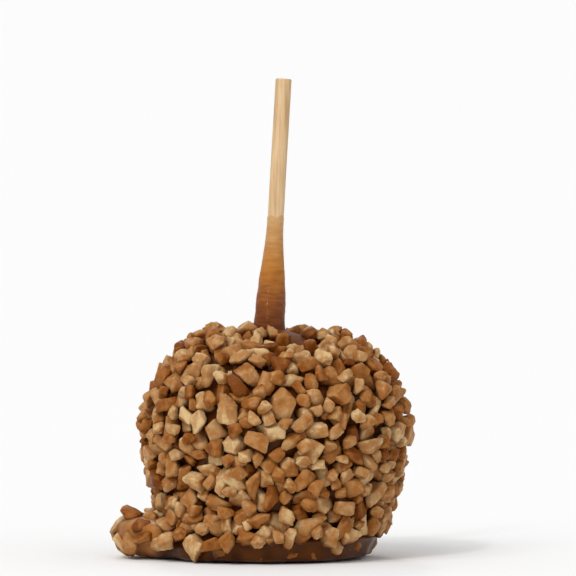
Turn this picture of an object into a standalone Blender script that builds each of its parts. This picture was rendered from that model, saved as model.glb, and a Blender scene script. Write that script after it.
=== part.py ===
"""A caramel apple rolled in chopped peanuts, on a plain wooden stick.

Units are metres, +Z up, +X to the right as seen from the front. The origin is on the table,
under the middle of the fruit, which stands on the flat foot its caramel set on.

  caramel_apple   fruit, caramel and nut crust as one solid, out to the uneven outside of the
                  nuts, with the pooled foot and the collar that the caramel forms on the stick
  stick           the dowel, pushed deep into the fruit and leaning a little to the right
"""
import math

import bmesh
import bpy
from mathutils import Vector, noise

# The fruit in its crust: a side that tapers down to the foot, and a rounded shoulder
WIDEST_RADIUS = 0.0374
WIDEST_HEIGHT = 0.0385
FOOT_RADIUS = 0.0292
SIDE_TAPER_POWER = 1.3       # 1 is a straight cone, higher is fuller near the widest ring
SHOULDER_RISE = 0.0268       # height of the full shoulder curve above the widest ring
SHOULDER_POWER = 2.25        # 2 is an ellipse, higher is squarer
RIM_RADIUS = 0.0190          # where the shoulder turns into the dimple round the stick
DIMPLE_DEPTH = 0.0016
FOOT_EDGE = 0.0012           # rounding where the foot meets the table
FOOT_SHIFT = -0.0019         # the foot set a little to the left of the fruit
FRUIT_SHIFT = 0.0008
SHIFT_HEIGHT = 0.0160        # height over which that step to the side runs out

# The lobe of caramel that pooled on the left: round from above, round under its outer edge
LOBE_CENTRE = 0.0270         # from the fruit's axis
LOBE_RADIUS = 0.0175
LOBE_CORNER = 0.0120         # rounding of its lower edge
LOBE_SHOULDER = 0.0085       # height where its top starts to round off
LOBE_TOP = 0.0142
LOBE_FILLET = 0.0020         # softness of the join with the fruit's side

# The collar of caramel that climbs the stick
COLLAR_FOOT_HEIGHT = 0.0627
COLLAR_TOP_HEIGHT = 0.0840
COLLAR_RADIUS = 0.0041
COLLAR_TOP_RADIUS = 0.0030
COLLAR_FLARE = 0.0006
FLARE_HEIGHT = 0.0015
NECK_START, NECK_END = 0.0700, 0.0820

# Chopped nuts: close lumps with grooves between them
NUT_SPACING = 0.0049
NUT_RELIEF = 0.0026          # from the outside of a nut to the bottom of a groove
NUT_OVERHANG = 0.0006        # how far the tallest nuts stand past the mean outline
BARE_FOOT_HEIGHT = 0.0030    # smooth caramel below this height
BARE_TOP_RADIUS = 0.0105     # smooth caramel inside this radius
BARE_FADE = 0.0030
UNEVENNESS = 0.0008          # slow swells of the fruit and its caramel
SWELL_SIZE = 0.0260

# The stick
STICK_LENGTH = 0.1143
STICK_RADIUS = 0.0022
STICK_LEAN = math.radians(3.35)
STICK_END_HEIGHT = 0.1317
STICK_EASING = 0.0004
STICK_CROSSING = Vector((-0.0008, 0.0, 0.0627))     # where its axis leaves the fruit
HOLE_CLEARANCE = 0.0003

# Mesh fineness
FRUIT_SIDES = 84
COLLAR_SIDES = 28            # divides FRUIT_SIDES
STICK_SIDES = 28
SIDE_RINGS = 17
SHOULDER_RINGS = 17
DIMPLE_RINGS = 6
COLLAR_RINGS = 9

CARAMEL_COLOUR = (0.238, 0.094, 0.030, 1.0)
WOOD_COLOUR = (0.560, 0.370, 0.195, 1.0)


def smooth_step(low, high, value):
    """0 below low, 1 above high, and an even S between them."""
    share = min(max((value - low) / (high - low), 0.0), 1.0)
    return share * share * (3.0 - 2.0 * share)


def stick_axis(height):
    """The stick's centre at a height."""
    lift = height - STICK_CROSSING.z
    return STICK_CROSSING + Vector((lift * math.tan(STICK_LEAN), 0.0, lift))


def side_outline():
    """(radius, height) from the foot's edge up to the widest ring."""
    points = [(FOOT_RADIUS - FOOT_EDGE, 0.0)]
    for ring in range(SIDE_RINGS + 1):
        height = FOOT_EDGE + (WIDEST_HEIGHT - FOOT_EDGE) * ring / SIDE_RINGS
        drop = (WIDEST_HEIGHT - height) / WIDEST_HEIGHT
        taper = (WIDEST_RADIUS - FOOT_RADIUS) * drop ** SIDE_TAPER_POWER
        points.append((WIDEST_RADIUS - taper, height))
    return points


def shoulder_outline():
    """(radius, height) from above the widest ring to the rim of the dimple, a superellipse."""
    power = 2.0 / SHOULDER_POWER
    rim_angle = math.acos((RIM_RADIUS / WIDEST_RADIUS) ** (1.0 / power))
    points = []
    for ring in range(1, SHOULDER_RINGS + 1):
        angle = rim_angle * ring / SHOULDER_RINGS
        radius = WIDEST_RADIUS * math.cos(angle) ** power
        points.append((radius, WIDEST_HEIGHT + SHOULDER_RISE * math.sin(angle) ** power))
    return points


def dimple_outline(rim_height):
    """(radius, height) from inside the rim to the foot of the collar."""
    inner = COLLAR_RADIUS + COLLAR_FLARE
    points = []
    for ring in range(1, DIMPLE_RINGS + 1):
        share = ring / (DIMPLE_RINGS + 1)
        radius = RIM_RADIUS + (inner - RIM_RADIUS) * share
        level = rim_height + (COLLAR_FOOT_HEIGHT - rim_height) * share * share
        points.append((radius, level - DIMPLE_DEPTH * math.sin(math.pi * share)))
    return points


def collar_radius(height):
    """The collar's outside: a small flare, an even stretch, and a neck."""
    flare = COLLAR_FLARE * math.exp(-(height - COLLAR_FOOT_HEIGHT) / FLARE_HEIGHT)
    narrowing = (COLLAR_RADIUS - COLLAR_TOP_RADIUS) * smooth_step(NECK_START, NECK_END, height)
    return COLLAR_RADIUS + flare - narrowing


def lobe_radius(height):
    """The lobe's radius from above: undercut near the table, rounded off at its top."""
    corner = max(LOBE_CORNER - height, 0.0)
    undercut = LOBE_CORNER - math.sqrt(LOBE_CORNER ** 2 - corner ** 2)
    climb = max(height - LOBE_SHOULDER, 0.0) / (LOBE_TOP - LOBE_SHOULDER)
    return (LOBE_RADIUS - undercut) * math.sqrt(max(1.0 - climb * climb, 0.0))


def with_lobe(angle, radius, height):
    """The side's radius at an angle, blended with the lobe's round outline."""
    from_left = angle - math.pi
    beside = LOBE_CENTRE * math.sin(from_left)
    half_chord = lobe_radius(height) ** 2 - beside ** 2
    if half_chord <= 0.0 or math.cos(from_left) <= 0.0:
        return radius
    lobe = LOBE_CENTRE * math.cos(from_left) + math.sqrt(half_chord)
    difference = lobe - radius
    return 0.5 * (lobe + radius + math.sqrt(difference ** 2 + LOBE_FILLET ** 2) - LOBE_FILLET)


def nut_cover(radius, height):
    """1 where nuts stick, 0 on the bare foot and on the bare top round the stick."""
    above_foot = smooth_step(BARE_FOOT_HEIGHT - BARE_FADE, BARE_FOOT_HEIGHT + BARE_FADE, height)
    off_top = smooth_step(BARE_TOP_RADIUS, BARE_TOP_RADIUS + BARE_FADE, radius)
    return above_foot * off_top


def crust_height(point, cover):
    """How far the crust stands out of (or sinks below) the mean outline at a point."""
    distances, _ = noise.voronoi(point / NUT_SPACING)
    groove = min((distances[1] - distances[0]) / 0.45, 1.0)
    lump = NUT_OVERHANG - NUT_RELIEF * (1.0 - groove) ** 2
    swell = UNEVENNESS * noise.noise(point / SWELL_SIZE)
    return cover * (lump + swell)


def fruit_ring(radius, height, sides):
    """One level ring of the fruit, with the lobe and the crust's relief on it."""
    rise = smooth_step(0.0, SHIFT_HEIGHT, height)
    over_top = smooth_step(RIM_RADIUS, BARE_TOP_RADIUS, radius) if height > WIDEST_HEIGHT else 0.0
    shift = FOOT_SHIFT + (FRUIT_SHIFT - FOOT_SHIFT) * rise
    shift += (STICK_CROSSING.x - shift) * over_top
    slope_up = smooth_step(WIDEST_RADIUS, RIM_RADIUS, radius) if height > WIDEST_HEIGHT else 0.0
    points = []
    for side in range(sides):
        angle = 2.0 * math.pi * side / sides
        outward = Vector((math.cos(angle), math.sin(angle), 0.0))
        reach = max(with_lobe(angle, radius, height), radius)
        point = Vector((shift, 0.0, height)) + outward * reach
        push = crust_height(point, nut_cover(radius, height))
        lift = math.sin(0.5 * math.pi * slope_up)
        point += outward * push * math.sqrt(1.0 - lift * lift)
        point.z += push * lift
        points.append(point)
    return points


def stick_ring(radius, height, sides):
    """One ring round the stick's axis, square to it."""
    centre = stick_axis(height)
    across = Vector((math.cos(STICK_LEAN), 0.0, -math.sin(STICK_LEAN)))
    forward = Vector((0.0, 1.0, 0.0))
    points = []
    for side in range(sides):
        angle = 2.0 * math.pi * side / sides
        points.append(centre + across * radius * math.cos(angle)
                      + forward * radius * math.sin(angle))
    return points


def close_with_point(mesh, ring, centre, facing_up):
    """Fan a ring to a middle vertex."""
    middle = mesh.verts.new(centre)
    for side in range(len(ring)):
        here, there = ring[side], ring[(side + 1) % len(ring)]
        mesh.faces.new((here, there, middle) if facing_up else (there, here, middle))


def join_rings(mesh, lower, upper):
    """Skin two rings; the upper one may have a whole fraction of the lower one's points."""
    ratio = len(lower) // len(upper)
    for side in range(len(upper)):
        top_here, top_there = upper[side], upper[(side + 1) % len(upper)]
        for step in range(ratio):
            low = side * ratio + step
            low_here, low_there = lower[low], lower[(low + 1) % len(lower)]
            if ratio == 1:
                mesh.faces.new((low_here, low_there, top_there, top_here))
            elif step < (ratio + 1) // 2:
                mesh.faces.new((low_here, low_there, top_here))
            else:
                mesh.faces.new((low_here, low_there, top_there))
            if ratio > 1 and step == (ratio + 1) // 2 - 1:
                mesh.faces.new((low_there, top_there, top_here))


def finish_object(name, mesh, colour, roughness):
    """Turn a bmesh into a named, smooth-shaded object with its own material."""
    data = bpy.data.meshes.new(name)
    mesh.to_mesh(data)
    mesh.free()
    data.shade_smooth()
    material = bpy.data.materials.new(name)
    material.use_nodes = True
    shader = material.node_tree.nodes["Principled BSDF"]
    shader.inputs["Base Color"].default_value = colour
    shader.inputs["Roughness"].default_value = roughness
    shader.inputs["Metallic"].default_value = 0.0
    data.materials.append(material)
    made = bpy.data.objects.new(name, data)
    bpy.context.scene.collection.objects.link(made)
    return made


def make_caramel_apple():
    """Foot, side, shoulder, dimple and collar, then the blind hole that the stick fills."""
    outline = side_outline() + shoulder_outline()
    outline += dimple_outline(outline[-1][1])
    levels = [fruit_ring(radius, height, FRUIT_SIDES) for radius, height in outline]
    for ring in range(COLLAR_RINGS + 1):
        height = COLLAR_FOOT_HEIGHT + (COLLAR_TOP_HEIGHT - COLLAR_FOOT_HEIGHT) * ring / COLLAR_RINGS
        levels.append(stick_ring(collar_radius(height), height, COLLAR_SIDES))
    hole_radius = STICK_RADIUS + HOLE_CLEARANCE
    hole_floor = STICK_END_HEIGHT - STICK_LENGTH * math.cos(STICK_LEAN) - HOLE_CLEARANCE
    levels.append(stick_ring(hole_radius, COLLAR_TOP_HEIGHT, COLLAR_SIDES))
    levels.append(stick_ring(hole_radius, hole_floor, COLLAR_SIDES))

    mesh = bmesh.new()
    rings = [[mesh.verts.new(point) for point in level] for level in levels]
    close_with_point(mesh, rings[0], Vector((FOOT_SHIFT, 0.0, 0.0)), facing_up=False)
    for lower, upper in zip(rings, rings[1:]):
        join_rings(mesh, lower, upper)
    close_with_point(mesh, rings[-1], stick_axis(hole_floor), facing_up=True)
    bmesh.ops.triangulate(mesh, faces=mesh.faces[:])
    return finish_object("caramel_apple", mesh, CARAMEL_COLOUR, roughness=0.4)


def make_stick():
    """The dowel, standing on its own axis, with its end edges eased."""
    mesh = bmesh.new()
    bmesh.ops.create_cone(mesh, cap_ends=True, segments=STICK_SIDES, radius1=STICK_RADIUS,
                          radius2=STICK_RADIUS, depth=STICK_LENGTH)
    stick = finish_object("stick", mesh, WOOD_COLOUR, roughness=0.7)
    easing = stick.modifiers.new("eased ends", "BEVEL")
    easing.width = STICK_EASING
    easing.segments = 2
    easing.limit_method = "ANGLE"
    easing.angle_limit = math.radians(60.0)
    middle = STICK_END_HEIGHT - 0.5 * STICK_LENGTH * math.cos(STICK_LEAN)
    stick.location = stick_axis(middle)
    stick.rotation_euler = (0.0, STICK_LEAN, 0.0)
    return stick


for old in list(bpy.data.objects):
    bpy.data.objects.remove(old)
make_caramel_apple()
make_stick()
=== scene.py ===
import math

import bmesh
import bpy
import numpy as np
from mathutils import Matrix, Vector, noise


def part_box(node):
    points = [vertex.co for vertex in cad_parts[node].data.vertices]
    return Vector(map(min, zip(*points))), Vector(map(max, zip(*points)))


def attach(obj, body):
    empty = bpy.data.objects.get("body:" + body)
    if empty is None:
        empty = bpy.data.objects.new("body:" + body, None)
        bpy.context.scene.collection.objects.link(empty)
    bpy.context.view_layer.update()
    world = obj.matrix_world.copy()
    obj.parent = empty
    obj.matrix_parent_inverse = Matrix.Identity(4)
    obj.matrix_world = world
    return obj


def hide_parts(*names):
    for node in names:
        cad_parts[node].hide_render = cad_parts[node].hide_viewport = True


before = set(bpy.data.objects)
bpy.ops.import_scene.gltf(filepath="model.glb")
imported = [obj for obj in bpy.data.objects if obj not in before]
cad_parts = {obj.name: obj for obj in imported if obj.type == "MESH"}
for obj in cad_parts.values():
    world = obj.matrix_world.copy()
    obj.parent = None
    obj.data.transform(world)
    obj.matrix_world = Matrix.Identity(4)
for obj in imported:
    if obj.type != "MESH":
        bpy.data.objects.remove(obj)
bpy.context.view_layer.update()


# ---- Stick ------------------------------------------------------------------------
# A plain turned birch dowel with eased ends, pushed down through the core of the fruit
# at a slight lean. It stays bare wood above the caramel that was drawn up it.

MM = 0.001
stick_low, stick_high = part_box("stick")
STICK_RADIUS = 0.5 * (stick_high.y - stick_low.y)
STICK_FOOT = Vector((stick_low.x + STICK_RADIUS, 0.0, stick_low.z))
STICK_TIP = Vector((stick_high.x - STICK_RADIUS, 0.0, stick_high.z))
STICK_AXIS = (STICK_TIP - STICK_FOOT).normalized()
STICK_SIDE = Vector((STICK_AXIS.z, 0.0, -STICK_AXIS.x))
STICK_EASE = 0.4 * MM
STICK_COLUMNS, STICK_RINGS = 64, 90


def stick_centre(height):
    """A point on the stick's axis at a height."""
    return STICK_FOOT + STICK_AXIS * ((height - STICK_FOOT.z) / STICK_AXIS.z)


def stick_outward(column, columns):
    """Unit vector square to the stick's axis, one of so many evenly round it."""
    angle = 2.0 * math.pi * column / columns
    return STICK_SIDE * math.cos(angle) + Vector((0.0, 1.0, 0.0)) * math.sin(angle)


def skin_rings(mesh, rings):
    """Quads between each ring of vertices and the next."""
    for lower, upper in zip(rings, rings[1:]):
        for column in range(len(lower)):
            after = (column + 1) % len(lower)
            mesh.faces.new((lower[column], lower[after], upper[after], upper[column]))


def put_in_scene(name, data, material, node):
    """One piece of the model: named, linked, with its material, riding on the part's root."""
    made = bpy.data.objects.new(name, data)
    bpy.context.scene.collection.objects.link(made)
    data.materials.append(material)
    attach(made, "root")
    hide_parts(node)
    return made


def stick_mesh():
    """The dowel, very slightly uneven along its length, with both ends eased."""
    mesh = bmesh.new()
    length = (STICK_TIP - STICK_FOOT).length
    stations = [(0.0, STICK_RADIUS - STICK_EASE), (STICK_EASE, STICK_RADIUS)]
    stations += [(STICK_EASE + (length - 2.0 * STICK_EASE) * ring / STICK_RINGS, STICK_RADIUS)
                 for ring in range(1, STICK_RINGS)]
    stations += [(length - STICK_EASE, STICK_RADIUS),
                 (length - 0.3 * STICK_EASE, STICK_RADIUS - 0.3 * STICK_EASE),
                 (length, STICK_RADIUS - STICK_EASE)]
    rings = []
    for run, radius in stations:
        ring = []
        for column in range(STICK_COLUMNS):
            outward = stick_outward(column, STICK_COLUMNS)
            wobble = noise.noise(outward * 1.5 + Vector((0.0, 0.0, run / (9.0 * MM))))
            point = STICK_FOOT + STICK_AXIS * run + outward * (radius + 0.025 * MM * wobble)
            ring.append(mesh.verts.new(point))
        rings.append(ring)
    skin_rings(mesh, rings)
    mesh.faces.new(list(reversed(rings[0])))
    mesh.faces.new(rings[-1])
    data = bpy.data.meshes.new("birch_stick")
    mesh.to_mesh(data)
    mesh.free()
    data.shade_smooth()
    data.set_sharp_from_angle(angle=math.radians(35.0))
    return data


def new_material(name):
    """A material with its node tree, shader and object coordinates to hand."""
    made = bpy.data.materials.new(name)
    made.use_nodes = True
    nodes = made.node_tree.nodes
    place = nodes.new("ShaderNodeTexCoord").outputs["Object"]
    return made, nodes, made.node_tree.links, nodes["Principled BSDF"], place


def noise_of(nodes, links, place, scale, detail=4.0, stretch=(1.0, 1.0, 1.0)):
    """A noise texture of a scale per metre, drawn out along the axes if asked."""
    mapping = nodes.new("ShaderNodeMapping")
    mapping.inputs["Scale"].default_value = stretch
    links.new(place, mapping.inputs["Vector"])
    texture = nodes.new("ShaderNodeTexNoise")
    texture.inputs["Scale"].default_value = scale
    texture.inputs["Detail"].default_value = detail
    links.new(mapping.outputs["Vector"], texture.inputs["Vector"])
    return texture.outputs["Fac"]


def ranged(nodes, links, value, from_low, from_high, to_low, to_high):
    """The value carried over from one range to another, held at its ends."""
    ranger = nodes.new("ShaderNodeMapRange")
    for name, amount in (("From Min", from_low), ("From Max", from_high),
                         ("To Min", to_low), ("To Max", to_high)):
        ranger.inputs[name].default_value = amount
    links.new(value, ranger.inputs["Value"])
    return ranger.outputs["Result"]


def ramp_of(nodes, links, value, stops):
    """Colours at places along a value, blended between."""
    ramp = nodes.new("ShaderNodeValToRGB")
    elements = ramp.color_ramp.elements
    while len(elements) < len(stops):
        elements.new(0.5)
    for element, (place, colour) in zip(elements, stops):
        element.position = place
        element.color = (*colour, 1.0)
    links.new(value, ramp.inputs["Fac"])
    return ramp.outputs["Color"]


def sum_of(nodes, links, first, second, operation="ADD"):
    """Two values joined by a sum or another plain operation."""
    adder = nodes.new("ShaderNodeMath")
    adder.operation = operation
    links.new(first, adder.inputs[0])
    links.new(second, adder.inputs[1])
    return adder.outputs["Value"]


def bumped(nodes, links, value, strength, depth, shader):
    """Fine relief on the shader from a value."""
    bump = nodes.new("ShaderNodeBump")
    bump.inputs["Strength"].default_value = strength
    bump.inputs["Distance"].default_value = depth
    links.new(value, bump.inputs["Height"])
    links.new(bump.outputs["Normal"], shader.inputs["Normal"])


def birch_material():
    """Pale birch with fine darker grain drawn out along the stick."""
    made, nodes, links, shader, place = new_material("birch")
    grain = noise_of(nodes, links, place, 1700.0, 5.0, (1.0, 1.0, 0.05))
    bands = noise_of(nodes, links, place, 500.0, 3.0, (1.0, 1.0, 0.12))
    both = ranged(nodes, links, sum_of(nodes, links, grain, bands), 0.0, 2.0, 0.0, 1.0)
    colour = ramp_of(nodes, links, both, (
        (0.34, (0.42, 0.25, 0.120)), (0.50, (0.60, 0.40, 0.210)), (0.68, (0.72, 0.52, 0.310))))
    links.new(colour, shader.inputs["Base Color"])
    links.new(ranged(nodes, links, grain, 0.3, 0.7, 0.50, 0.72), shader.inputs["Roughness"])
    bumped(nodes, links, grain, 0.35, 0.05 * MM, shader)
    shader.inputs["Specular IOR Level"].default_value = 0.3
    return made


put_in_scene("birch_stick", stick_mesh(), birch_material(), "stick")


# ---- Caramel ----------------------------------------------------------------------
# Soft cooked caramel that the fruit was dipped in: a thin even coat, drawn up the stick
# in a collar that thins to a film, and set on the tray as a flat foot with a round
# pooled lobe at the left. It is laid out as a grid that the nuts are pressed into.

coat_low, coat_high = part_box("caramel_apple")
WIDEST_RADIUS = 0.5 * (coat_high.y - coat_low.y) - 0.4 * MM
WIDEST_HEIGHT = 38.5 * MM
FOOT_RADIUS = 29.2 * MM
SIDE_TAPER_POWER = 1.3
SHOULDER_RISE = 26.8 * MM
SHOULDER_POWER = 2.25
RIM_RADIUS = 19.0 * MM
DIMPLE_DEPTH = 1.6 * MM
FOOT_SHIFT = -1.9 * MM           # the foot sits a little left of the fruit
FRUIT_SHIFT = 0.8 * MM
SHIFT_HEIGHT = 16.0 * MM

NUT_DEPTH = 4.8 * MM             # caramel below the mean outside of the nuts
SHOULDER_DEPTH = 0.9 * MM        # and further below it over the shoulder, where nuts stand out
FOOT_DEPTH = 0.5 * MM            # and below it at the foot, where it bulges out bare
SKIRT_TOP = 5.6 * MM
SKIRT_FALL = 3.2 * MM
FOOT_CURL = 1.5 * MM
FOOT_BULGE = 0.45 * MM
DIP_DEPTH = 3.0 * MM             # the top is lower in front of the stick and at its front right
DIP_ANGLE = math.radians(-72.0)
DIP_HALF_ANGLE = math.radians(85.0)
DIP_RADIUS = 15.0 * MM

LOBE_CENTRE = 27.0 * MM
LOBE_RADIUS = 17.0 * MM
LOBE_CORNER = 12.0 * MM
LOBE_SHOULDER = 8.5 * MM
LOBE_TOP = 12.4 * MM
LOBE_FILLET = 2.0 * MM

COLLAR_FOOT_HEIGHT = 62.7 * MM
COLLAR_RADIUS = 4.1 * MM
COLLAR_FLARE = 0.5 * MM
FLARE_HEIGHT = 1.4 * MM
NECK_START, NECK_END = 68.3 * MM, 92.0 * MM
FILM = 0.10 * MM
FILM_TOP = 94.0 * MM
FILM_WANDER = 1.4 * MM
COLLAR_RINGS = 110

CELL = 0.30 * MM                 # grid step along the outline
COLUMNS = 768                    # grid steps round the fruit
COLUMN_STEP, ROW_STEP = 3, 2     # grid steps to a mesh face

chance = np.random.default_rng(41)


def smooth_step(low, high, value):
    """0 below low, 1 above high, and an even S between them."""
    share = np.clip((value - low) / (high - low), 0.0, 1.0)
    return share * share * (3.0 - 2.0 * share)


def nut_outline():
    """Radius and height of the mean outside of the nuts, from the foot's edge to the collar."""
    height = np.linspace(0.0, WIDEST_HEIGHT, 120)
    drop = (WIDEST_HEIGHT - height) / WIDEST_HEIGHT
    side = WIDEST_RADIUS - (WIDEST_RADIUS - FOOT_RADIUS) * drop ** SIDE_TAPER_POWER
    power = 2.0 / SHOULDER_POWER
    rim_angle = math.acos((RIM_RADIUS / WIDEST_RADIUS) ** (1.0 / power))
    angle = np.linspace(0.0, rim_angle, 120)[1:]
    over = WIDEST_RADIUS * np.cos(angle) ** power
    over_height = WIDEST_HEIGHT + SHOULDER_RISE * np.sin(angle) ** power
    share = np.linspace(0.0, 1.0, 60)[1:]
    across = RIM_RADIUS + (COLLAR_RADIUS + COLLAR_FLARE - RIM_RADIUS) * share
    level = over_height[-1] + (COLLAR_FOOT_HEIGHT - over_height[-1]) * share ** 2
    level -= DIMPLE_DEPTH * np.sin(math.pi * share)
    return np.concatenate([side, over, across]), np.concatenate([height, over_height, level])


def evenly_spaced(radius, height, step):
    """The same outline with points a step apart along it."""
    run = np.concatenate([[0.0], np.cumsum(np.hypot(np.diff(radius), np.diff(height)))])
    along = np.linspace(0.0, run[-1], int(run[-1] / step) + 1)
    return np.interp(along, run, radius), np.interp(along, run, height)


def caramel_outline():
    """The nuts' outline drawn in to the caramel's own surface, curled in at the tray."""
    radius, height = evenly_spaced(*nut_outline(), CELL)
    over_radius, over_height = np.gradient(radius), np.gradient(height)
    length = np.hypot(over_radius, over_height)
    depth = FOOT_DEPTH + (NUT_DEPTH - FOOT_DEPTH) * smooth_step(
        SKIRT_TOP, SKIRT_TOP + SKIRT_FALL, height)
    depth += SHOULDER_DEPTH * smooth_step(36.0 * MM, 46.0 * MM, height) * smooth_step(
        62.0 * MM, 57.0 * MM, height)
    near_stick = 1.0 - smooth_step(0.40 * RIM_RADIUS, 0.85 * RIM_RADIUS, radius)
    depth = np.where(height > WIDEST_HEIGHT, depth * (1.0 - near_stick), depth)
    depth += FOOT_CURL * np.clip(1.0 - height / FOOT_CURL, 0.0, 1.0) ** 2
    inward_radius = radius - depth * over_height / length
    inward_height = np.maximum(height + depth * over_radius / length, 0.0)
    return evenly_spaced(inward_radius, inward_height, CELL)


def lobe_radius(height):
    """The lobe's radius from above: undercut near the tray, rounded off at its top."""
    corner = np.maximum(LOBE_CORNER - height, 0.0)
    undercut = LOBE_CORNER - np.sqrt(LOBE_CORNER ** 2 - corner ** 2)
    climb = np.maximum(height - LOBE_SHOULDER, 0.0) / (LOBE_TOP - LOBE_SHOULDER)
    return (LOBE_RADIUS - undercut) * np.sqrt(np.maximum(1.0 - climb ** 2, 0.0))


def with_lobe(angle, radius, height):
    """The side's radius at an angle, blended with the lobe's round outline."""
    from_left = angle - math.pi
    half_chord = lobe_radius(height) ** 2 - (LOBE_CENTRE * np.sin(from_left)) ** 2
    lobe = LOBE_CENTRE * np.cos(from_left) + np.sqrt(np.maximum(half_chord, 0.0))
    apart = lobe - radius
    blend = 0.5 * (lobe + radius + np.sqrt(apart ** 2 + LOBE_FILLET ** 2) - LOBE_FILLET)
    beside = (half_chord <= 0.0) | (np.cos(from_left) <= 0.0)
    return np.where(beside, radius, np.maximum(blend, radius))


def gentle_waves(points, shortest, longest, count):
    """A smooth uneven field, about -1 to 1, of waves in random directions."""
    total = np.zeros(points.shape[:-1])
    for _ in range(count):
        way = chance.normal(size=3)
        way *= 2.0 * math.pi / (np.linalg.norm(way) * chance.uniform(shortest, longest))
        total += np.sin(points @ way + chance.uniform(0.0, 2.0 * math.pi))
    return total / math.sqrt(count)


def surface_normals(grid):
    """Unit normals of a grid that closes on itself round the fruit."""
    up = np.gradient(grid, axis=0)
    round_it = np.roll(grid, -1, axis=1) - np.roll(grid, 1, axis=1)
    normal = np.cross(round_it, up)
    return normal / np.linalg.norm(normal, axis=-1, keepdims=True)


def caramel_grid():
    """Points of the caramel's surface in rows up the fruit, and how far each is lobe."""
    radius, height = caramel_outline()
    radius, height = radius[:, None], height[:, None]
    angle = (2.0 * math.pi * np.arange(COLUMNS) / COLUMNS)[None, :]
    shift = FOOT_SHIFT + (FRUIT_SHIFT - FOOT_SHIFT) * smooth_step(0.0, SHIFT_HEIGHT, height)
    on_top = (height > WIDEST_HEIGHT) * smooth_step(RIM_RADIUS, 0.5 * RIM_RADIUS, radius)
    shift = shift + (stick_centre(COLLAR_FOOT_HEIGHT).x - shift) * on_top
    reach = with_lobe(angle, radius, height)
    lobe_share = smooth_step(0.5 * MM, 4.0 * MM, reach - radius)
    away = np.abs((angle - DIP_ANGLE + math.pi) % (2.0 * math.pi) - math.pi)
    dip = smooth_step(DIP_HALF_ANGLE, 0.25 * DIP_HALF_ANGLE, away) * (height > WIDEST_HEIGHT)
    dip = dip * smooth_step(6.0 * MM, DIP_RADIUS, radius) * smooth_step(
        2.0 * DIP_RADIUS, DIP_RADIUS, radius)
    grid = np.stack([shift + reach * np.cos(angle), reach * np.sin(angle),
                     height - DIP_DEPTH * dip], axis=-1)
    keep = smooth_step(0.0, 1.5 * MM, height) * (1.0 - on_top)
    depth = 0.22 * MM + (FOOT_BULGE - 0.22 * MM) * smooth_step(
        SKIRT_TOP + SKIRT_FALL, 0.5 * SKIRT_TOP, height)
    waves = gentle_waves(grid, 7.0 * MM, 15.0 * MM, 14) * keep * depth
    return grid + surface_normals(grid) * waves[..., None], lobe_share


coat, lobe_share = caramel_grid()
coat_normal = surface_normals(coat)


def collar_radius(height):
    """Caramel on the stick: a flare, an even stretch, a long neck and a thin film."""
    flare = COLLAR_FLARE * math.exp(-(height - COLLAR_FOOT_HEIGHT) / FLARE_HEIGHT)
    neck = 1.0 - float(smooth_step(NECK_START, NECK_END, height))
    thin = STICK_RADIUS + FILM
    return thin + (COLLAR_RADIUS - thin) * neck + flare


def collar_rings(columns):
    """Rings up the collar, softly ridged where it sagged, and over its edge onto the stick."""
    rings = []
    for number in range(1, COLLAR_RINGS + 1):
        share = number / COLLAR_RINGS
        ring = []
        for column in range(columns):
            outward = stick_outward(column, columns)
            top = FILM_TOP + FILM_WANDER * noise.noise(outward * 0.9 + Vector((3.1, 0.0, 0.0)))
            height = COLLAR_FOOT_HEIGHT + (top - COLLAR_FOOT_HEIGHT) * share
            radius = collar_radius(height)
            lumps = noise.noise(outward * 1.2 + Vector((0.0, 0.0, height / (4.5 * MM))))
            sags = noise.noise(outward * 0.7 + Vector((5.0, 0.0, height / (0.9 * MM))))
            radius += (radius - STICK_RADIUS) * (0.10 * lumps + 0.05 * sags)
            if share > 0.985:
                radius = STICK_RADIUS - 0.05 * MM
            ring.append(stick_centre(height) + outward * radius)
        rings.append(ring)
    return rings


def caramel_mesh():
    """The coat's grid, closed underneath, with the collar grown from its top row."""
    mesh = bmesh.new()
    lobe_layer = mesh.verts.layers.float.new("lobe")
    rings = []
    for row, shares in zip(coat[::ROW_STEP, ::COLUMN_STEP], lobe_share[::ROW_STEP, ::COLUMN_STEP]):
        ring = [mesh.verts.new(point) for point in row]
        for vert, share in zip(ring, shares):
            vert[lobe_layer] = float(share)
        rings.append(ring)
    columns = len(rings[0])
    for ring in collar_rings(columns):
        rings.append([mesh.verts.new(point) for point in ring])
    skin_rings(mesh, rings)
    centre = Vector((FOOT_SHIFT, 0.0, 0.0))
    under = [rings[0]]
    for share in (0.8, 0.55, 0.3):
        under.append([mesh.verts.new(centre + (vert.co - centre) * share) for vert in rings[0]])
    skin_rings(mesh, under[::-1])
    middle = mesh.verts.new(centre)
    for column in range(columns):
        mesh.faces.new((under[-1][(column + 1) % columns], under[-1][column], middle))
    data = bpy.data.meshes.new("caramel_coat")
    mesh.to_mesh(data)
    mesh.free()
    data.shade_smooth()
    return data


def mixed(nodes, links, share, first, second):
    """The first colour turning into the second as the share goes from 0 to 1."""
    mixer = nodes.new("ShaderNodeMix")
    mixer.data_type = "RGBA"
    links.new(share, mixer.inputs["Factor"])
    links.new(first, mixer.inputs["A"])
    links.new(second, mixer.inputs["B"])
    return mixer.outputs["Result"]


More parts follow.
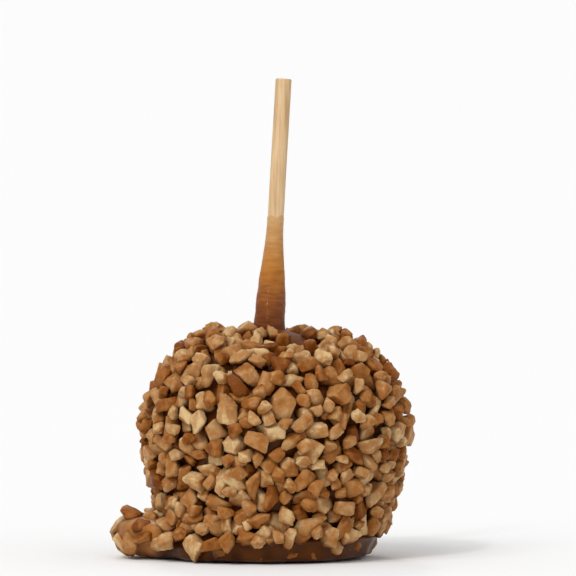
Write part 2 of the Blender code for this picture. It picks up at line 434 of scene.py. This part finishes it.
def caramel_material():
    """Dark, glossy and a little translucent; amber where it lies thin, on the stick and lobe."""
    made, nodes, links, shader, place = new_material("caramel")
    apart = nodes.new("ShaderNodeSeparateXYZ")
    links.new(place, apart.inputs[0])
    height = apart.outputs["Z"]
    lobe = nodes.new("ShaderNodeAttribute")
    lobe.attribute_name = "lobe"
    mottle = noise_of(nodes, links, place, 190.0)
    body = ramp_of(nodes, links, mottle, (
        (0.32, (0.058, 0.0140, 0.0020)), (0.68, (0.132, 0.0350, 0.0052))))
    amber = ramp_of(nodes, links, mottle, (
        (0.32, (0.170, 0.0480, 0.0060)), (0.68, (0.400, 0.1700, 0.0450))))
    deep = ramp_of(nodes, links, mottle, (
        (0.32, (0.040, 0.0100, 0.0016)), (0.68, (0.088, 0.0240, 0.0040))))
    thick = ranged(nodes, links, height, 9.0 * MM, 5.0 * MM, 0.0, 1.0)
    body = mixed(nodes, links, thick, body, deep)
    body = mixed(nodes, links, lobe.outputs["Fac"], body, amber)
    streaks = noise_of(nodes, links, place, 420.0, 3.0, (0.6, 0.6, 2.6))
    streaks = ranged(nodes, links, streaks, 0.3, 0.7, -0.10, 0.10)
    rise = ranged(nodes, links, height, 63.0 * MM, 94.0 * MM, 0.0, 1.0)
    neck = ramp_of(nodes, links, sum_of(nodes, links, rise, streaks), (
        (0.00, (0.110, 0.0280, 0.0080)), (0.27, (0.240, 0.0760, 0.0200)),
        (0.54, (0.410, 0.1600, 0.0290)), (0.75, (0.460, 0.2250, 0.0750)),
        (1.00, (0.540, 0.3300, 0.1500))))
    on_stick = ranged(nodes, links, height, 62.3 * MM, 64.5 * MM, 0.0, 1.0)
    links.new(mixed(nodes, links, on_stick, body, neck), shader.inputs["Base Color"])
    ripple = noise_of(nodes, links, place, 300.0, 3.0)
    bumped(nodes, links, ripple, 0.25, 0.3 * MM, shader)
    links.new(ranged(nodes, links, ripple, 0.3, 0.7, 0.30, 0.50), shader.inputs["Roughness"])
    shader.inputs["Specular IOR Level"].default_value = 0.25
    shader.inputs["Specular Tint"].default_value = (1.0, 0.42, 0.12, 1.0)
    shader.inputs["Coat Weight"].default_value = 0.17
    shader.inputs["Coat Roughness"].default_value = 0.09
    shader.inputs["Coat IOR"].default_value = 1.4
    shader.inputs["Subsurface Weight"].default_value = 0.25
    shader.inputs["Subsurface Radius"].default_value = (1.0, 0.35, 0.10)
    shader.inputs["Subsurface Scale"].default_value = 1.2 * MM
    return made


put_in_scene("caramel_coat", caramel_mesh(), caramel_material(), "caramel_apple")


# ---- Chopped peanuts --------------------------------------------------------------
# Roasted, skinned peanuts chopped to 3 to 8 mm: hard flat cut faces, softly worn edges,
# and on some a round toasted back. Each settles on what is already there, pressed a
# little into the caramel, so that they lie in two rough layers without floating.

SHAPES = 96
PRESSED_IN = 1.0 * MM            # how far the first nuts sink into the soft caramel
POOL_PRESSED_IN = 2.3 * MM       # and how far they sink into the pooled lobe and foot
SQUEEZE = 0.16 * MM
ROOM = 6.3 * MM                  # highest that a nut may stand over the caramel
TRIALS = 24


def even_ball(steps):
    """Unit vectors spread evenly over a ball, and the triangles between them."""
    mesh = bmesh.new()
    bmesh.ops.create_cube(mesh, size=2.0)
    bmesh.ops.subdivide_edges(mesh, edges=mesh.edges[:], cuts=steps - 1, use_grid_fill=True)
    bmesh.ops.triangulate(mesh, faces=mesh.faces[:])
    mesh.verts.index_update()
    ways = np.tan(np.array([vert.co[:] for vert in mesh.verts]) * math.pi / 4.0)
    faces = np.array([[vert.index for vert in face.verts] for face in mesh.faces])
    mesh.free()
    return ways / np.linalg.norm(ways, axis=1, keepdims=True), faces


def chip_planes(half, cuts, round_back):
    """Normals, distances and browning of a chip's faces: six leaning ones, cuts, a back."""
    normals = np.vstack([np.eye(3), -np.eye(3)]) + chance.normal(0.0, 0.24, (6, 3))
    normals = np.vstack([normals, chance.normal(size=(cuts, 3))])
    normals /= np.linalg.norm(normals, axis=1, keepdims=True)
    box = np.abs(normals) @ half
    distances = box * np.concatenate([np.full(6, 0.94), chance.uniform(0.56, 0.86, cuts)])
    browned = chance.normal(0.0, 0.10, len(normals))
    if round_back:
        back = chance.normal(size=(10, 3))
        back[:, 2] = np.abs(back[:, 2])
        back /= np.linalg.norm(back, axis=1, keepdims=True)
        normals = np.vstack([normals, back])
        distances = np.concatenate([distances, np.linalg.norm(back * half, axis=1) * 1.0])
        browned = np.concatenate([browned, np.full(10, 0.28)])
    return normals, distances, browned


def worn_chip(half, normals, distances, browned, ways):
    """Points of a chip with worn edges, hollows and uneven faces, and each point's browning, with
    a painted highlight on the edges and painted shade in the hollows.
    """
    aim = ways * half
    aim /= np.linalg.norm(aim, axis=1, keepdims=True)
    steep = np.maximum(aim @ normals.T, 1e-3) / distances
    nearest = steep.max(axis=1, keepdims=True)
    wear = chance.uniform(20.0, 52.0)
    shares = (steep / nearest) ** wear
    rounding = shares.sum(axis=1) ** (1.0 / wear)
    reach = 1.0 / (nearest[:, 0] * rounding)
    hollows = np.zeros(len(ways))
    for _ in range(chance.integers(0, 4)):
        middle = chance.normal(size=3)
        apart = np.linalg.norm(ways - middle / np.linalg.norm(middle), axis=1)
        hollows += chance.uniform(0.06, 0.20) * np.exp(-(apart / 0.5) ** 2)
    points = aim * (reach * (1.0 - hollows))[:, None]
    uneven = 0.13 * gentle_waves(points, 2.5 * MM, 6.0 * MM, 8)
    uneven += 0.06 * gentle_waves(points, 1.0 * MM, 2.0 * MM, 10)
    points += aim * (uneven * MM)[:, None]
    # Painted light: edges and corners are made paler, a painted edge highlight, and hollows
    # darker, painted shade.
    on_edge = (rounding - 1.0) / (2.0 ** (1.0 / wear) - 1.0)
    own = (steep / nearest) ** 9.0
    browning_and_painted_light = (own * browned).sum(axis=1) / own.sum(axis=1)
    return points, browning_and_painted_light + 0.22 * (1.0 - np.clip(on_edge, 0.0, 1.6)) - 0.07 + 0.5 * hollows


def make_shapes():
    """The set of chips that the crust is made of, from crumbs to long and broad pieces."""
    sorts = (
        # share, steps, half length, half width, half thickness (mm, least and most)
        (0.36, 8, (2.2, 2.9), (1.7, 2.3), (1.2, 1.8)),
        (0.30, 8, (2.9, 4.2), (1.4, 1.9), (1.0, 1.6)),
        (0.08, 8, (2.8, 3.3), (2.2, 2.7), (1.4, 1.9)),
        (0.26, 6, (1.5, 2.1), (1.2, 1.6), (0.8, 1.2)),
    )
    balls = {steps: even_ball(steps) for steps in (6, 8)}
    made = []
    for share, steps, *ranges in sorts:
        ways, faces = balls[steps]
        for _ in range(int(round(share * SHAPES))):
            half = np.array([chance.uniform(*span) for span in ranges]) * MM
            planes = chip_planes(half, int(chance.integers(3, 8)), chance.random() < 0.35)
            points, browning_and_painted_light = worn_chip(half, *planes, ways)
            made.append({"normals": planes[0], "distances": 0.96 * planes[1], "verts": points,
                         "faces": faces, "browning_and_painted_light": browning_and_painted_light, "half": half,
                         "reach": np.linalg.norm(points, axis=1).max()})
    return made


def random_turns(count):
    """Evenly random rotation matrices."""
    w, x, y, z = (lambda q: q / np.linalg.norm(q, axis=0))(chance.normal(size=(4, count)))
    return np.array([
        [1 - 2 * (y * y + z * z), 2 * (x * y - w * z), 2 * (x * z + w * y)],
        [2 * (x * y + w * z), 1 - 2 * (x * x + z * z), 2 * (y * z - w * x)],
        [2 * (x * z - w * y), 2 * (y * z + w * x), 1 - 2 * (x * x + y * y)],
    ]).transpose(2, 0, 1)


shapes = make_shapes()
most_planes = max(len(shape["distances"]) for shape in shapes)
shape_faces = np.stack([np.resize(shape["normals"], (most_planes, 3)) for shape in shapes])
shape_distances = np.stack([np.resize(shape["distances"], most_planes) for shape in shapes])
shape_reach = np.array([shape["reach"] for shape in shapes])
row_pitch = np.linalg.norm(np.gradient(coat, axis=0), axis=-1)
column_pitch = 0.5 * np.linalg.norm(np.roll(coat, -1, axis=1) - np.roll(coat, 1, axis=1), axis=-1)
cell_area = row_pitch * column_pitch
skirt_edge = 6.6 * MM + 1.2 * MM * coat_normal[..., 0]
foot_share = smooth_step(skirt_edge, skirt_edge - 1.2 * MM, coat[..., 2])
pooled = np.maximum(lobe_share, foot_share)
pile = -PRESSED_IN - (POOL_PRESSED_IN - PRESSED_IN) * pooled   # height of what has settled

beside_stick = coat[..., :2] - np.array(stick_centre(COLLAR_FOOT_HEIGHT))[:2]
from_stick = np.linalg.norm(beside_stick, axis=-1)
round_stick = np.arctan2(beside_stick[..., 1], beside_stick[..., 0])
on_top = coat[..., 2] > WIDEST_HEIGHT
bare_side = np.abs((round_stick - math.radians(4.0) + math.pi) % (2.0 * math.pi) - math.pi)
bare_radius = 7.4 * MM + 8.2 * MM * smooth_step(math.radians(80.0), math.radians(56.0), bare_side)
from_patch = np.linalg.norm(coat - np.array([13.0, -26.0, 53.5]) * MM, axis=-1)
on_side = (pooled < 0.5) & (~on_top | (from_stick > bare_radius)) & (from_patch > 4.0 * MM)
on_lobe = (lobe_share > 0.5) & (coat[..., 2] > 1.5 * MM)
on_foot = (pooled >= 0.5) & ~on_lobe & (coat[..., 2] > 1.2 * MM)
room = ROOM - 3.2 * MM * on_top * smooth_step(15.0 * MM, 8.0 * MM, from_stick)
room = room - 4.2 * MM * lobe_share
room = np.where(on_foot, 1.3 * MM, room)


def rest_best(row, column, number, tries, crowded, flatness, highest, along=None):
    """Drops a chip on a cell in random turns; returns how it rests lowest and snuggest, or
    of those with its length near a wanted way."""
    here, out = coat[row, column], coat_normal[row, column]
    side = coat[row, (column + 1) % COLUMNS] - coat[row, column - 1]
    side = side - out * (side @ out)
    side /= np.linalg.norm(side)
    axes = np.stack([side, np.cross(out, side), out])
    rows = int(shape_reach[number] / row_pitch[row, column]) + 1
    columns = min(int(shape_reach[number] / column_pitch[row, column]) + 1, COLUMNS // 4)
    cells = np.ix_(np.arange(max(row - rows, 0), min(row + rows + 1, coat.shape[0])),
                   np.arange(column - columns, column + columns + 1) % COLUMNS)
    local = (coat[cells].reshape(-1, 3) - here) @ axes.T
    turns = random_turns(tries)
    faces = shape_faces[number] @ turns.transpose(0, 2, 1)
    climb = np.where(np.abs(faces[..., 2]) < 1e-3, 1e-3, faces[..., 2])
    flat = np.tensordot(local[:, :2], faces[..., :2], axes=(1, 2))
    bound = (shape_distances[number] - flat) / climb
    top = np.where(climb > 0.0, bound, np.inf).min(axis=-1)
    bottom = np.where(climb < 0.0, bound, -np.inf).max(axis=-1)
    covered = top > bottom
    count = covered.sum(axis=0)
    level = (local[:, 2] + pile[cells].ravel())[:, None]
    clash = np.sort(np.where(covered, level - bottom, -np.inf), axis=0)
    lift = clash[-1 - (crowded * count).astype(int), np.arange(tries)] - SQUEEZE
    gap = np.where(covered, np.clip(lift + bottom - level, 0.0, None), 0.0).sum(axis=0)
    gap /= np.maximum(count, 1)
    crest = np.where(covered, lift + top - local[:, 2:], -np.inf).max(axis=0)
    score = flatness * crest + gap
    if along is not None:
        score -= 3.0 * MM * np.abs(turns[:, :, 0] @ (axes @ along))
    score[(count < 4) | (crest > highest)] = np.inf
    best = int(score.argmin())
    turn, centre = axes.T @ turns[best], here + out * lift[best]
    lowest = (shapes[number]["verts"] @ turn[2]).min() + centre[2]
    if not np.isfinite(score[best]) or lowest < 0.05 * MM:
        return None
    return {"score": score[best], "number": number, "turn": turn, "centre": centre,
            "out": out, "here": here, "cells": cells,
            "sunk": lobe_share[row, column] + 0.85 * foot_share[row, column],
            "covered": covered[:, best], "height": lift[best] + top[:, best] - local[:, 2]}


def scatter(where, sorts, ceiling, stop_share, most, crowded):
    """Settles chips in the lowest of a few places until little is left below the ceiling."""
    weight = np.where(where, cell_area, 0.0)
    places = chance.choice(weight.size, size=40000, p=weight.ravel() / weight.sum())
    for attempt in range(most):
        if attempt % 20 == 0 and weight[pile < ceiling].sum() < stop_share * weight.sum():
            break
        careless = chance.random() < 0.15
        trial = places[chance.integers(len(places), size=2 if careless else TRIALS)]
        trial = trial[np.argsort(pile.ravel()[trial])][:1 if careless else 2]
        number = int(chance.choice(sorts))
        flatness = chance.uniform(0.25, 1.2)
        found = [rest_best(*divmod(int(cell), COLUMNS), number, 2 if careless else 10, crowded,
                           flatness, room.flat[cell]) for cell in trial]
        found = [rest for rest in found if rest]
        if not found:
            continue
        settle(min(found, key=lambda each: each["score"]))


def settle(rest):
    """Leaves a chip where it rests and raises the pile under it."""
    settled = pile[rest["cells"]]
    raised = np.where(rest["covered"], rest["height"], -1.0).reshape(settled.shape)
    pile[rest["cells"]] = np.maximum(settled, raised)
    chips.append(rest)


def place(placed, highest):
    """Settles nuts of given sizes as near as they will go to given places, if there is room."""
    for right, behind, above, half_length, half_width, tone, along in placed:
        apart = np.linalg.norm(coat - np.array([right, behind, above]) * MM, axis=-1)
        row, column = np.unravel_index((1.5 * apart + pile).argmin(), apart.shape)
        unlike = [np.hypot(*(shape["half"][:2] / MM - (half_length, half_width)))
                  for shape in shapes]
        found = [rest_best(row, column, int(number), 90, 0.04, 0.4, highest, along)
                 for number in np.argsort(unlike)[:6]]
        found = [rest for rest in found if rest]
        if found:
            rest = min(found, key=lambda each: each["score"])
            rest["tone"] = tone
            settle(rest)


chips = []

# Some nuts have places of their own: first those round the foot of the stick and along the
# outer edge of the lobe, and last of all those that stand up on the rim of the top.
UPRIGHT, ANY_WAY = np.array([0.0, 0.0, 1.0]), None
LEANING, FALLING = np.array([0.8, 0.0, 0.6]), np.array([0.85, 0.0, -0.5])
FIRST_PLACED = (
    # right of the fruit's axis, behind it, above the table, half length, half width (mm), tone
    (2.8, -9.2, 60.0, 2.4, 2.1, 0.62, UPRIGHT),
    (-0.2, -12.4, 58.6, 2.5, 1.9, 0.02, ANY_WAY),
    (-4.6, -9.4, 60.0, 1.9, 1.5, 0.56, ANY_WAY),
    (-7.0, -2.0, 61.5, 3.2, 2.4, 0.16, LEANING),
    (11.6, 3.0, 61.0, 2.6, 2.1, 0.86, UPRIGHT),
    (6.6, -13.4, 58.0, 2.4, 1.8, 0.36, ANY_WAY),
    (14.2, -7.0, 59.0, 3.0, 2.4, 0.20, ANY_WAY),
    (-3.0, -16.0, 57.0, 4.2, 1.6, 0.14, FALLING),
    (-44.0, -1.0, 11.0, 4.0, 1.6, 0.00, UPRIGHT),
    (-39.0, -1.0, 12.5, 2.8, 2.3, 0.70, ANY_WAY),
    (-36.0, -11.0, 10.0, 2.8, 2.1, 0.55, ANY_WAY),
    (-38.5, -9.0, 4.0, 2.6, 2.0, 0.34, ANY_WAY),
)
LAST_PLACED = (
    (-12.4, 2.0, 60.0, 2.5, 2.0, 0.16, ANY_WAY),
    (-17.0, 0.5, 59.0, 2.4, 1.3, 0.14, ANY_WAY),
    (17.6, -1.0, 58.5, 3.3, 1.6, 0.05, FALLING),
    (22.6, 0.0, 57.6, 1.8, 1.4, 0.42, ANY_WAY),
)
FOOT_PLACED = (
    (-14.0, -26.0, 3.2, 2.0, 1.6, 0.40, ANY_WAY),
    (-4.0, -29.5, 2.6, 2.0, 1.6, 0.52, ANY_WAY),
    (6.0, -28.5, 2.3, 1.8, 1.4, 0.40, ANY_WAY),
    (12.0, -26.0, 2.3, 1.7, 1.3, 0.62, ANY_WAY),
    (21.5, -18.8, 3.0, 2.0, 1.6, 0.50, ANY_WAY),
)
place(FIRST_PLACED, 1.5 * ROOM)

bulk = np.array([shape["half"].prod() for shape in shapes])
every = np.arange(len(shapes))
large, small = every[bulk >= 5.0 * MM ** 3], every[bulk < 5.0 * MM ** 3]
scatter(on_lobe, large, 0.0, 0.45, 120, 0.04)
scatter(on_foot, large, 0.0, 0.74, 160, 0.04)
scatter(on_side, large, 0.0, 0.32, 900, 0.04)
scatter(on_side, every, 0.0, 0.15, 700, 0.08)
scatter(on_side, small, 0.0, 0.07, 600, 0.14)
scatter(on_side, large, 2.2 * MM, 0.15, 600, 0.10)
place(LAST_PLACED, 1.5 * ROOM)
place(FOOT_PLACED, 2.0 * MM)


def peanut_material(name, gloss, grain):
    """Roasted peanut: pale cut faces, a browned outside with painted edge highlights and hollow
    shade, and caramel smeared on the low parts, which also serves as painted shade there.
    """
    made, nodes, links, shader, place = new_material(name)
    tone = nodes.new("ShaderNodeAttribute")
    tone.attribute_name = "toast_and_painted_light"
    above = nodes.new("ShaderNodeAttribute")
    above.attribute_name = "above"
    mottle = noise_of(nodes, links, place, 340.0, 5.0)
    specks = noise_of(nodes, links, place, 1300.0, 4.0)
    total = sum_of(nodes, links, tone.outputs["Fac"],
                   ranged(nodes, links, mottle, 0.3, 0.7, -0.27, 0.27))
    total = sum_of(nodes, links, total, ranged(nodes, links, specks, 0.3, 0.7, -0.07, 0.07))
    nut = ramp_of(nodes, links, total, (
        (0.00, (0.590, 0.405, 0.200)), (0.14, (0.480, 0.288, 0.128)),
        (0.30, (0.410, 0.208, 0.077)), (0.56, (0.335, 0.133, 0.034)),
        (0.85, (0.245, 0.078, 0.012)), (1.00, (0.170, 0.045, 0.006))))
    # Caramel smear and painted shade together: each nut's low parts, up to about 2 mm over the
    # caramel, turn dark caramel brown and glossier.
    smear_and_shade = sum_of(nodes, links, above.outputs["Fac"],
                   ranged(nodes, links, mottle, 0.3, 0.7, -0.8, 0.8))
    smear_and_shade = ranged(nodes, links, smear_and_shade, 0.3, 2.0, 1.0, 0.0)
    dark = nodes.new("ShaderNodeRGB")
    dark.outputs[0].default_value = (0.090, 0.0230, 0.0045, 1.0)
    links.new(mixed(nodes, links, smear_and_shade, nut, dark.outputs[0]), shader.inputs["Base Color"])
    dry = ranged(nodes, links, mottle, 0.3, 0.7, gloss, gloss + 0.18)
    wet = ranged(nodes, links, smear_and_shade, 0.0, 1.0, 0.0, 0.20)
    links.new(sum_of(nodes, links, dry, wet, "SUBTRACT"), shader.inputs["Roughness"])
    bumped(nodes, links, specks, grain, 0.16 * MM, shader)
    shader.inputs["Specular IOR Level"].default_value = 0.20
    shader.inputs["Specular Tint"].default_value = (1.0, 0.72, 0.42, 1.0)
    shader.inputs["Subsurface Weight"].default_value = 0.12
    shader.inputs["Subsurface Radius"].default_value = (1.0, 0.55, 0.25)
    shader.inputs["Subsurface Scale"].default_value = 0.8 * MM
    return made


def nut_mesh(name, members, tone, spread):
    """All chips of one kind as one mesh, with each vertex's tone (painted edge highlights and
    hollow shade included) and height over the caramel.
    """
    verts, faces, toast_and_painted_light, above = [], [], [], []
    start = 0
    for rest in members:
        shape = shapes[rest["number"]]
        own = shape["verts"] @ rest["turn"].T + rest["centre"]
        verts.append(own)
        faces.append(shape["faces"] + start)
        start += len(own)
        own_tone = rest.get("tone", float(np.clip(chance.normal(tone, spread), 0.0, 1.1)))
        toast_and_painted_light.append(own_tone + shape["browning_and_painted_light"])
        sunk = (POOL_PRESSED_IN - PRESSED_IN) * rest["sunk"]
        above.append(((own - rest["here"]) @ rest["out"] + sunk) / MM)
    data = bpy.data.meshes.new(name)
    data.from_pydata(np.concatenate(verts).tolist(), [], np.concatenate(faces).tolist())
    for label, values in (("toast_and_painted_light", toast_and_painted_light), ("above", above)):
        layer = data.attributes.new(label, "FLOAT", "POINT")
        layer.data.foreach_set("value", np.concatenate(values).astype(np.float32))
    data.shade_smooth()
    data.update()
    return data


KINDS = (
    # name, share, mean tone, spread of tone, roughness, grain
    ("pale_nuts", 0.29, 0.07, 0.08, 0.50, 0.35),
    ("golden_nuts", 0.28, 0.22, 0.09, 0.48, 0.40),
    ("amber_nuts", 0.20, 0.38, 0.10, 0.44, 0.50),
    ("toasted_nuts", 0.16, 0.56, 0.10, 0.42, 0.70),
    ("dark_nuts", 0.07, 0.80, 0.10, 0.30, 0.90),
)
kind_of = chance.choice(len(KINDS), size=len(chips), p=[kind[1] for kind in KINDS])
for number, (name, _, tone, spread, gloss, grain) in enumerate(KINDS):
    members = [chip for chip, kind in zip(chips, kind_of) if kind == number]
    put_in_scene(name, nut_mesh(name, members, tone, spread),
                 peanut_material(name, gloss, grain), "caramel_apple")


# ---- Floor, light and camera ------------------------------------------------------
# A wide white table in a bright white room, with a broad soft light and a small sharp one
# from the upper left in front, and weaker soft ones from the right and from behind.

floor_mesh = bmesh.new()
bmesh.ops.create_grid(floor_mesh, x_segments=2, y_segments=2, size=40.0)
floor_data = bpy.data.meshes.new("floor")
floor_mesh.to_mesh(floor_data)
floor_mesh.free()
floor = bpy.data.objects.new("floor", floor_data)
bpy.context.scene.collection.objects.link(floor)
floor_material = bpy.data.materials.new("floor")
floor_material.use_nodes = True
floor_shader = floor_material.node_tree.nodes["Principled BSDF"]
floor_shader.inputs["Base Color"].default_value = (0.88, 0.88, 0.88, 1.0)
floor_shader.inputs["Roughness"].default_value = 0.9
floor_shader.inputs["Specular IOR Level"].default_value = 0.2
floor_data.materials.append(floor_material)

world = bpy.data.worlds.new("studio")
world.use_nodes = True
world_nodes, world_links = world.node_tree.nodes, world.node_tree.links
room_light = world_nodes["Background"]
room_light.inputs["Color"].default_value = (1.0, 1.0, 1.0, 1.0)
look = world_nodes.new("ShaderNodeTexCoord")
look_parts = world_nodes.new("ShaderNodeSeparateXYZ")
world_links.new(look.outputs["Generated"], look_parts.inputs[0])
world_links.new(ranged(world_nodes, world_links, look_parts.outputs["Z"], 0.0, 0.9, 0.36, 0.74),
                room_light.inputs["Strength"])
wall = world_nodes.new("ShaderNodeBackground")
wall.inputs["Color"].default_value = (1.0, 1.0, 1.0, 1.0)
wall.inputs["Strength"].default_value = 1.0
path = world_nodes.new("ShaderNodeLightPath")
either = world_nodes.new("ShaderNodeMixShader")
world_links.new(path.outputs["Is Camera Ray"], either.inputs[0])
world_links.new(room_light.outputs[0], either.inputs[1])
world_links.new(wall.outputs[0], either.inputs[2])
world_links.new(either.outputs[0], world_nodes["World Output"].inputs[0])
bpy.context.scene.world = world


def soft_sun(name, towards, strength, spread):
    """A far lamp whose light comes in over a wide angle."""
    light = bpy.data.lights.new(name, "SUN")
    light.energy = strength
    light.angle = math.radians(spread)
    made = bpy.data.objects.new(name, light)
    made.rotation_euler = Vector(towards).to_track_quat("-Z", "Y").to_euler()
    bpy.context.scene.collection.objects.link(made)


soft_sun("key", (0.45, 0.66, -0.80), 1.2, 35.0)
soft_sun("glint", (0.38, 0.72, -0.72), 0.5, 5.0)
soft_sun("low_glint", (0.50, 0.85, -0.10), 0.16, 4.0)
soft_sun("fill", (-0.6, 0.6, -0.25), 0.35, 60.0)
soft_sun("back", (0.1, -0.8, -0.7), 0.35, 9.0)

scene = bpy.context.scene
scene.view_settings.view_transform = "Standard"
DISTANCE = 2.8
FRAME_WIDTH = 0.1584
ELEVATION = math.radians(2.4)
aim = Vector((4.4 * MM, 0.0, 74.25 * MM))
lens = bpy.data.cameras.new("camera")
lens.sensor_width = 36.0
lens.lens = lens.sensor_width * DISTANCE / FRAME_WIDTH
lens.clip_end = 100.0
camera = bpy.data.objects.new("camera", lens)
back = Vector((0.0, -math.cos(ELEVATION), math.sin(ELEVATION)))
camera.location = aim + back * DISTANCE
camera.rotation_euler = (-back).to_track_quat("-Z", "Y").to_euler()
scene.collection.objects.link(camera)
scene.camera = camera
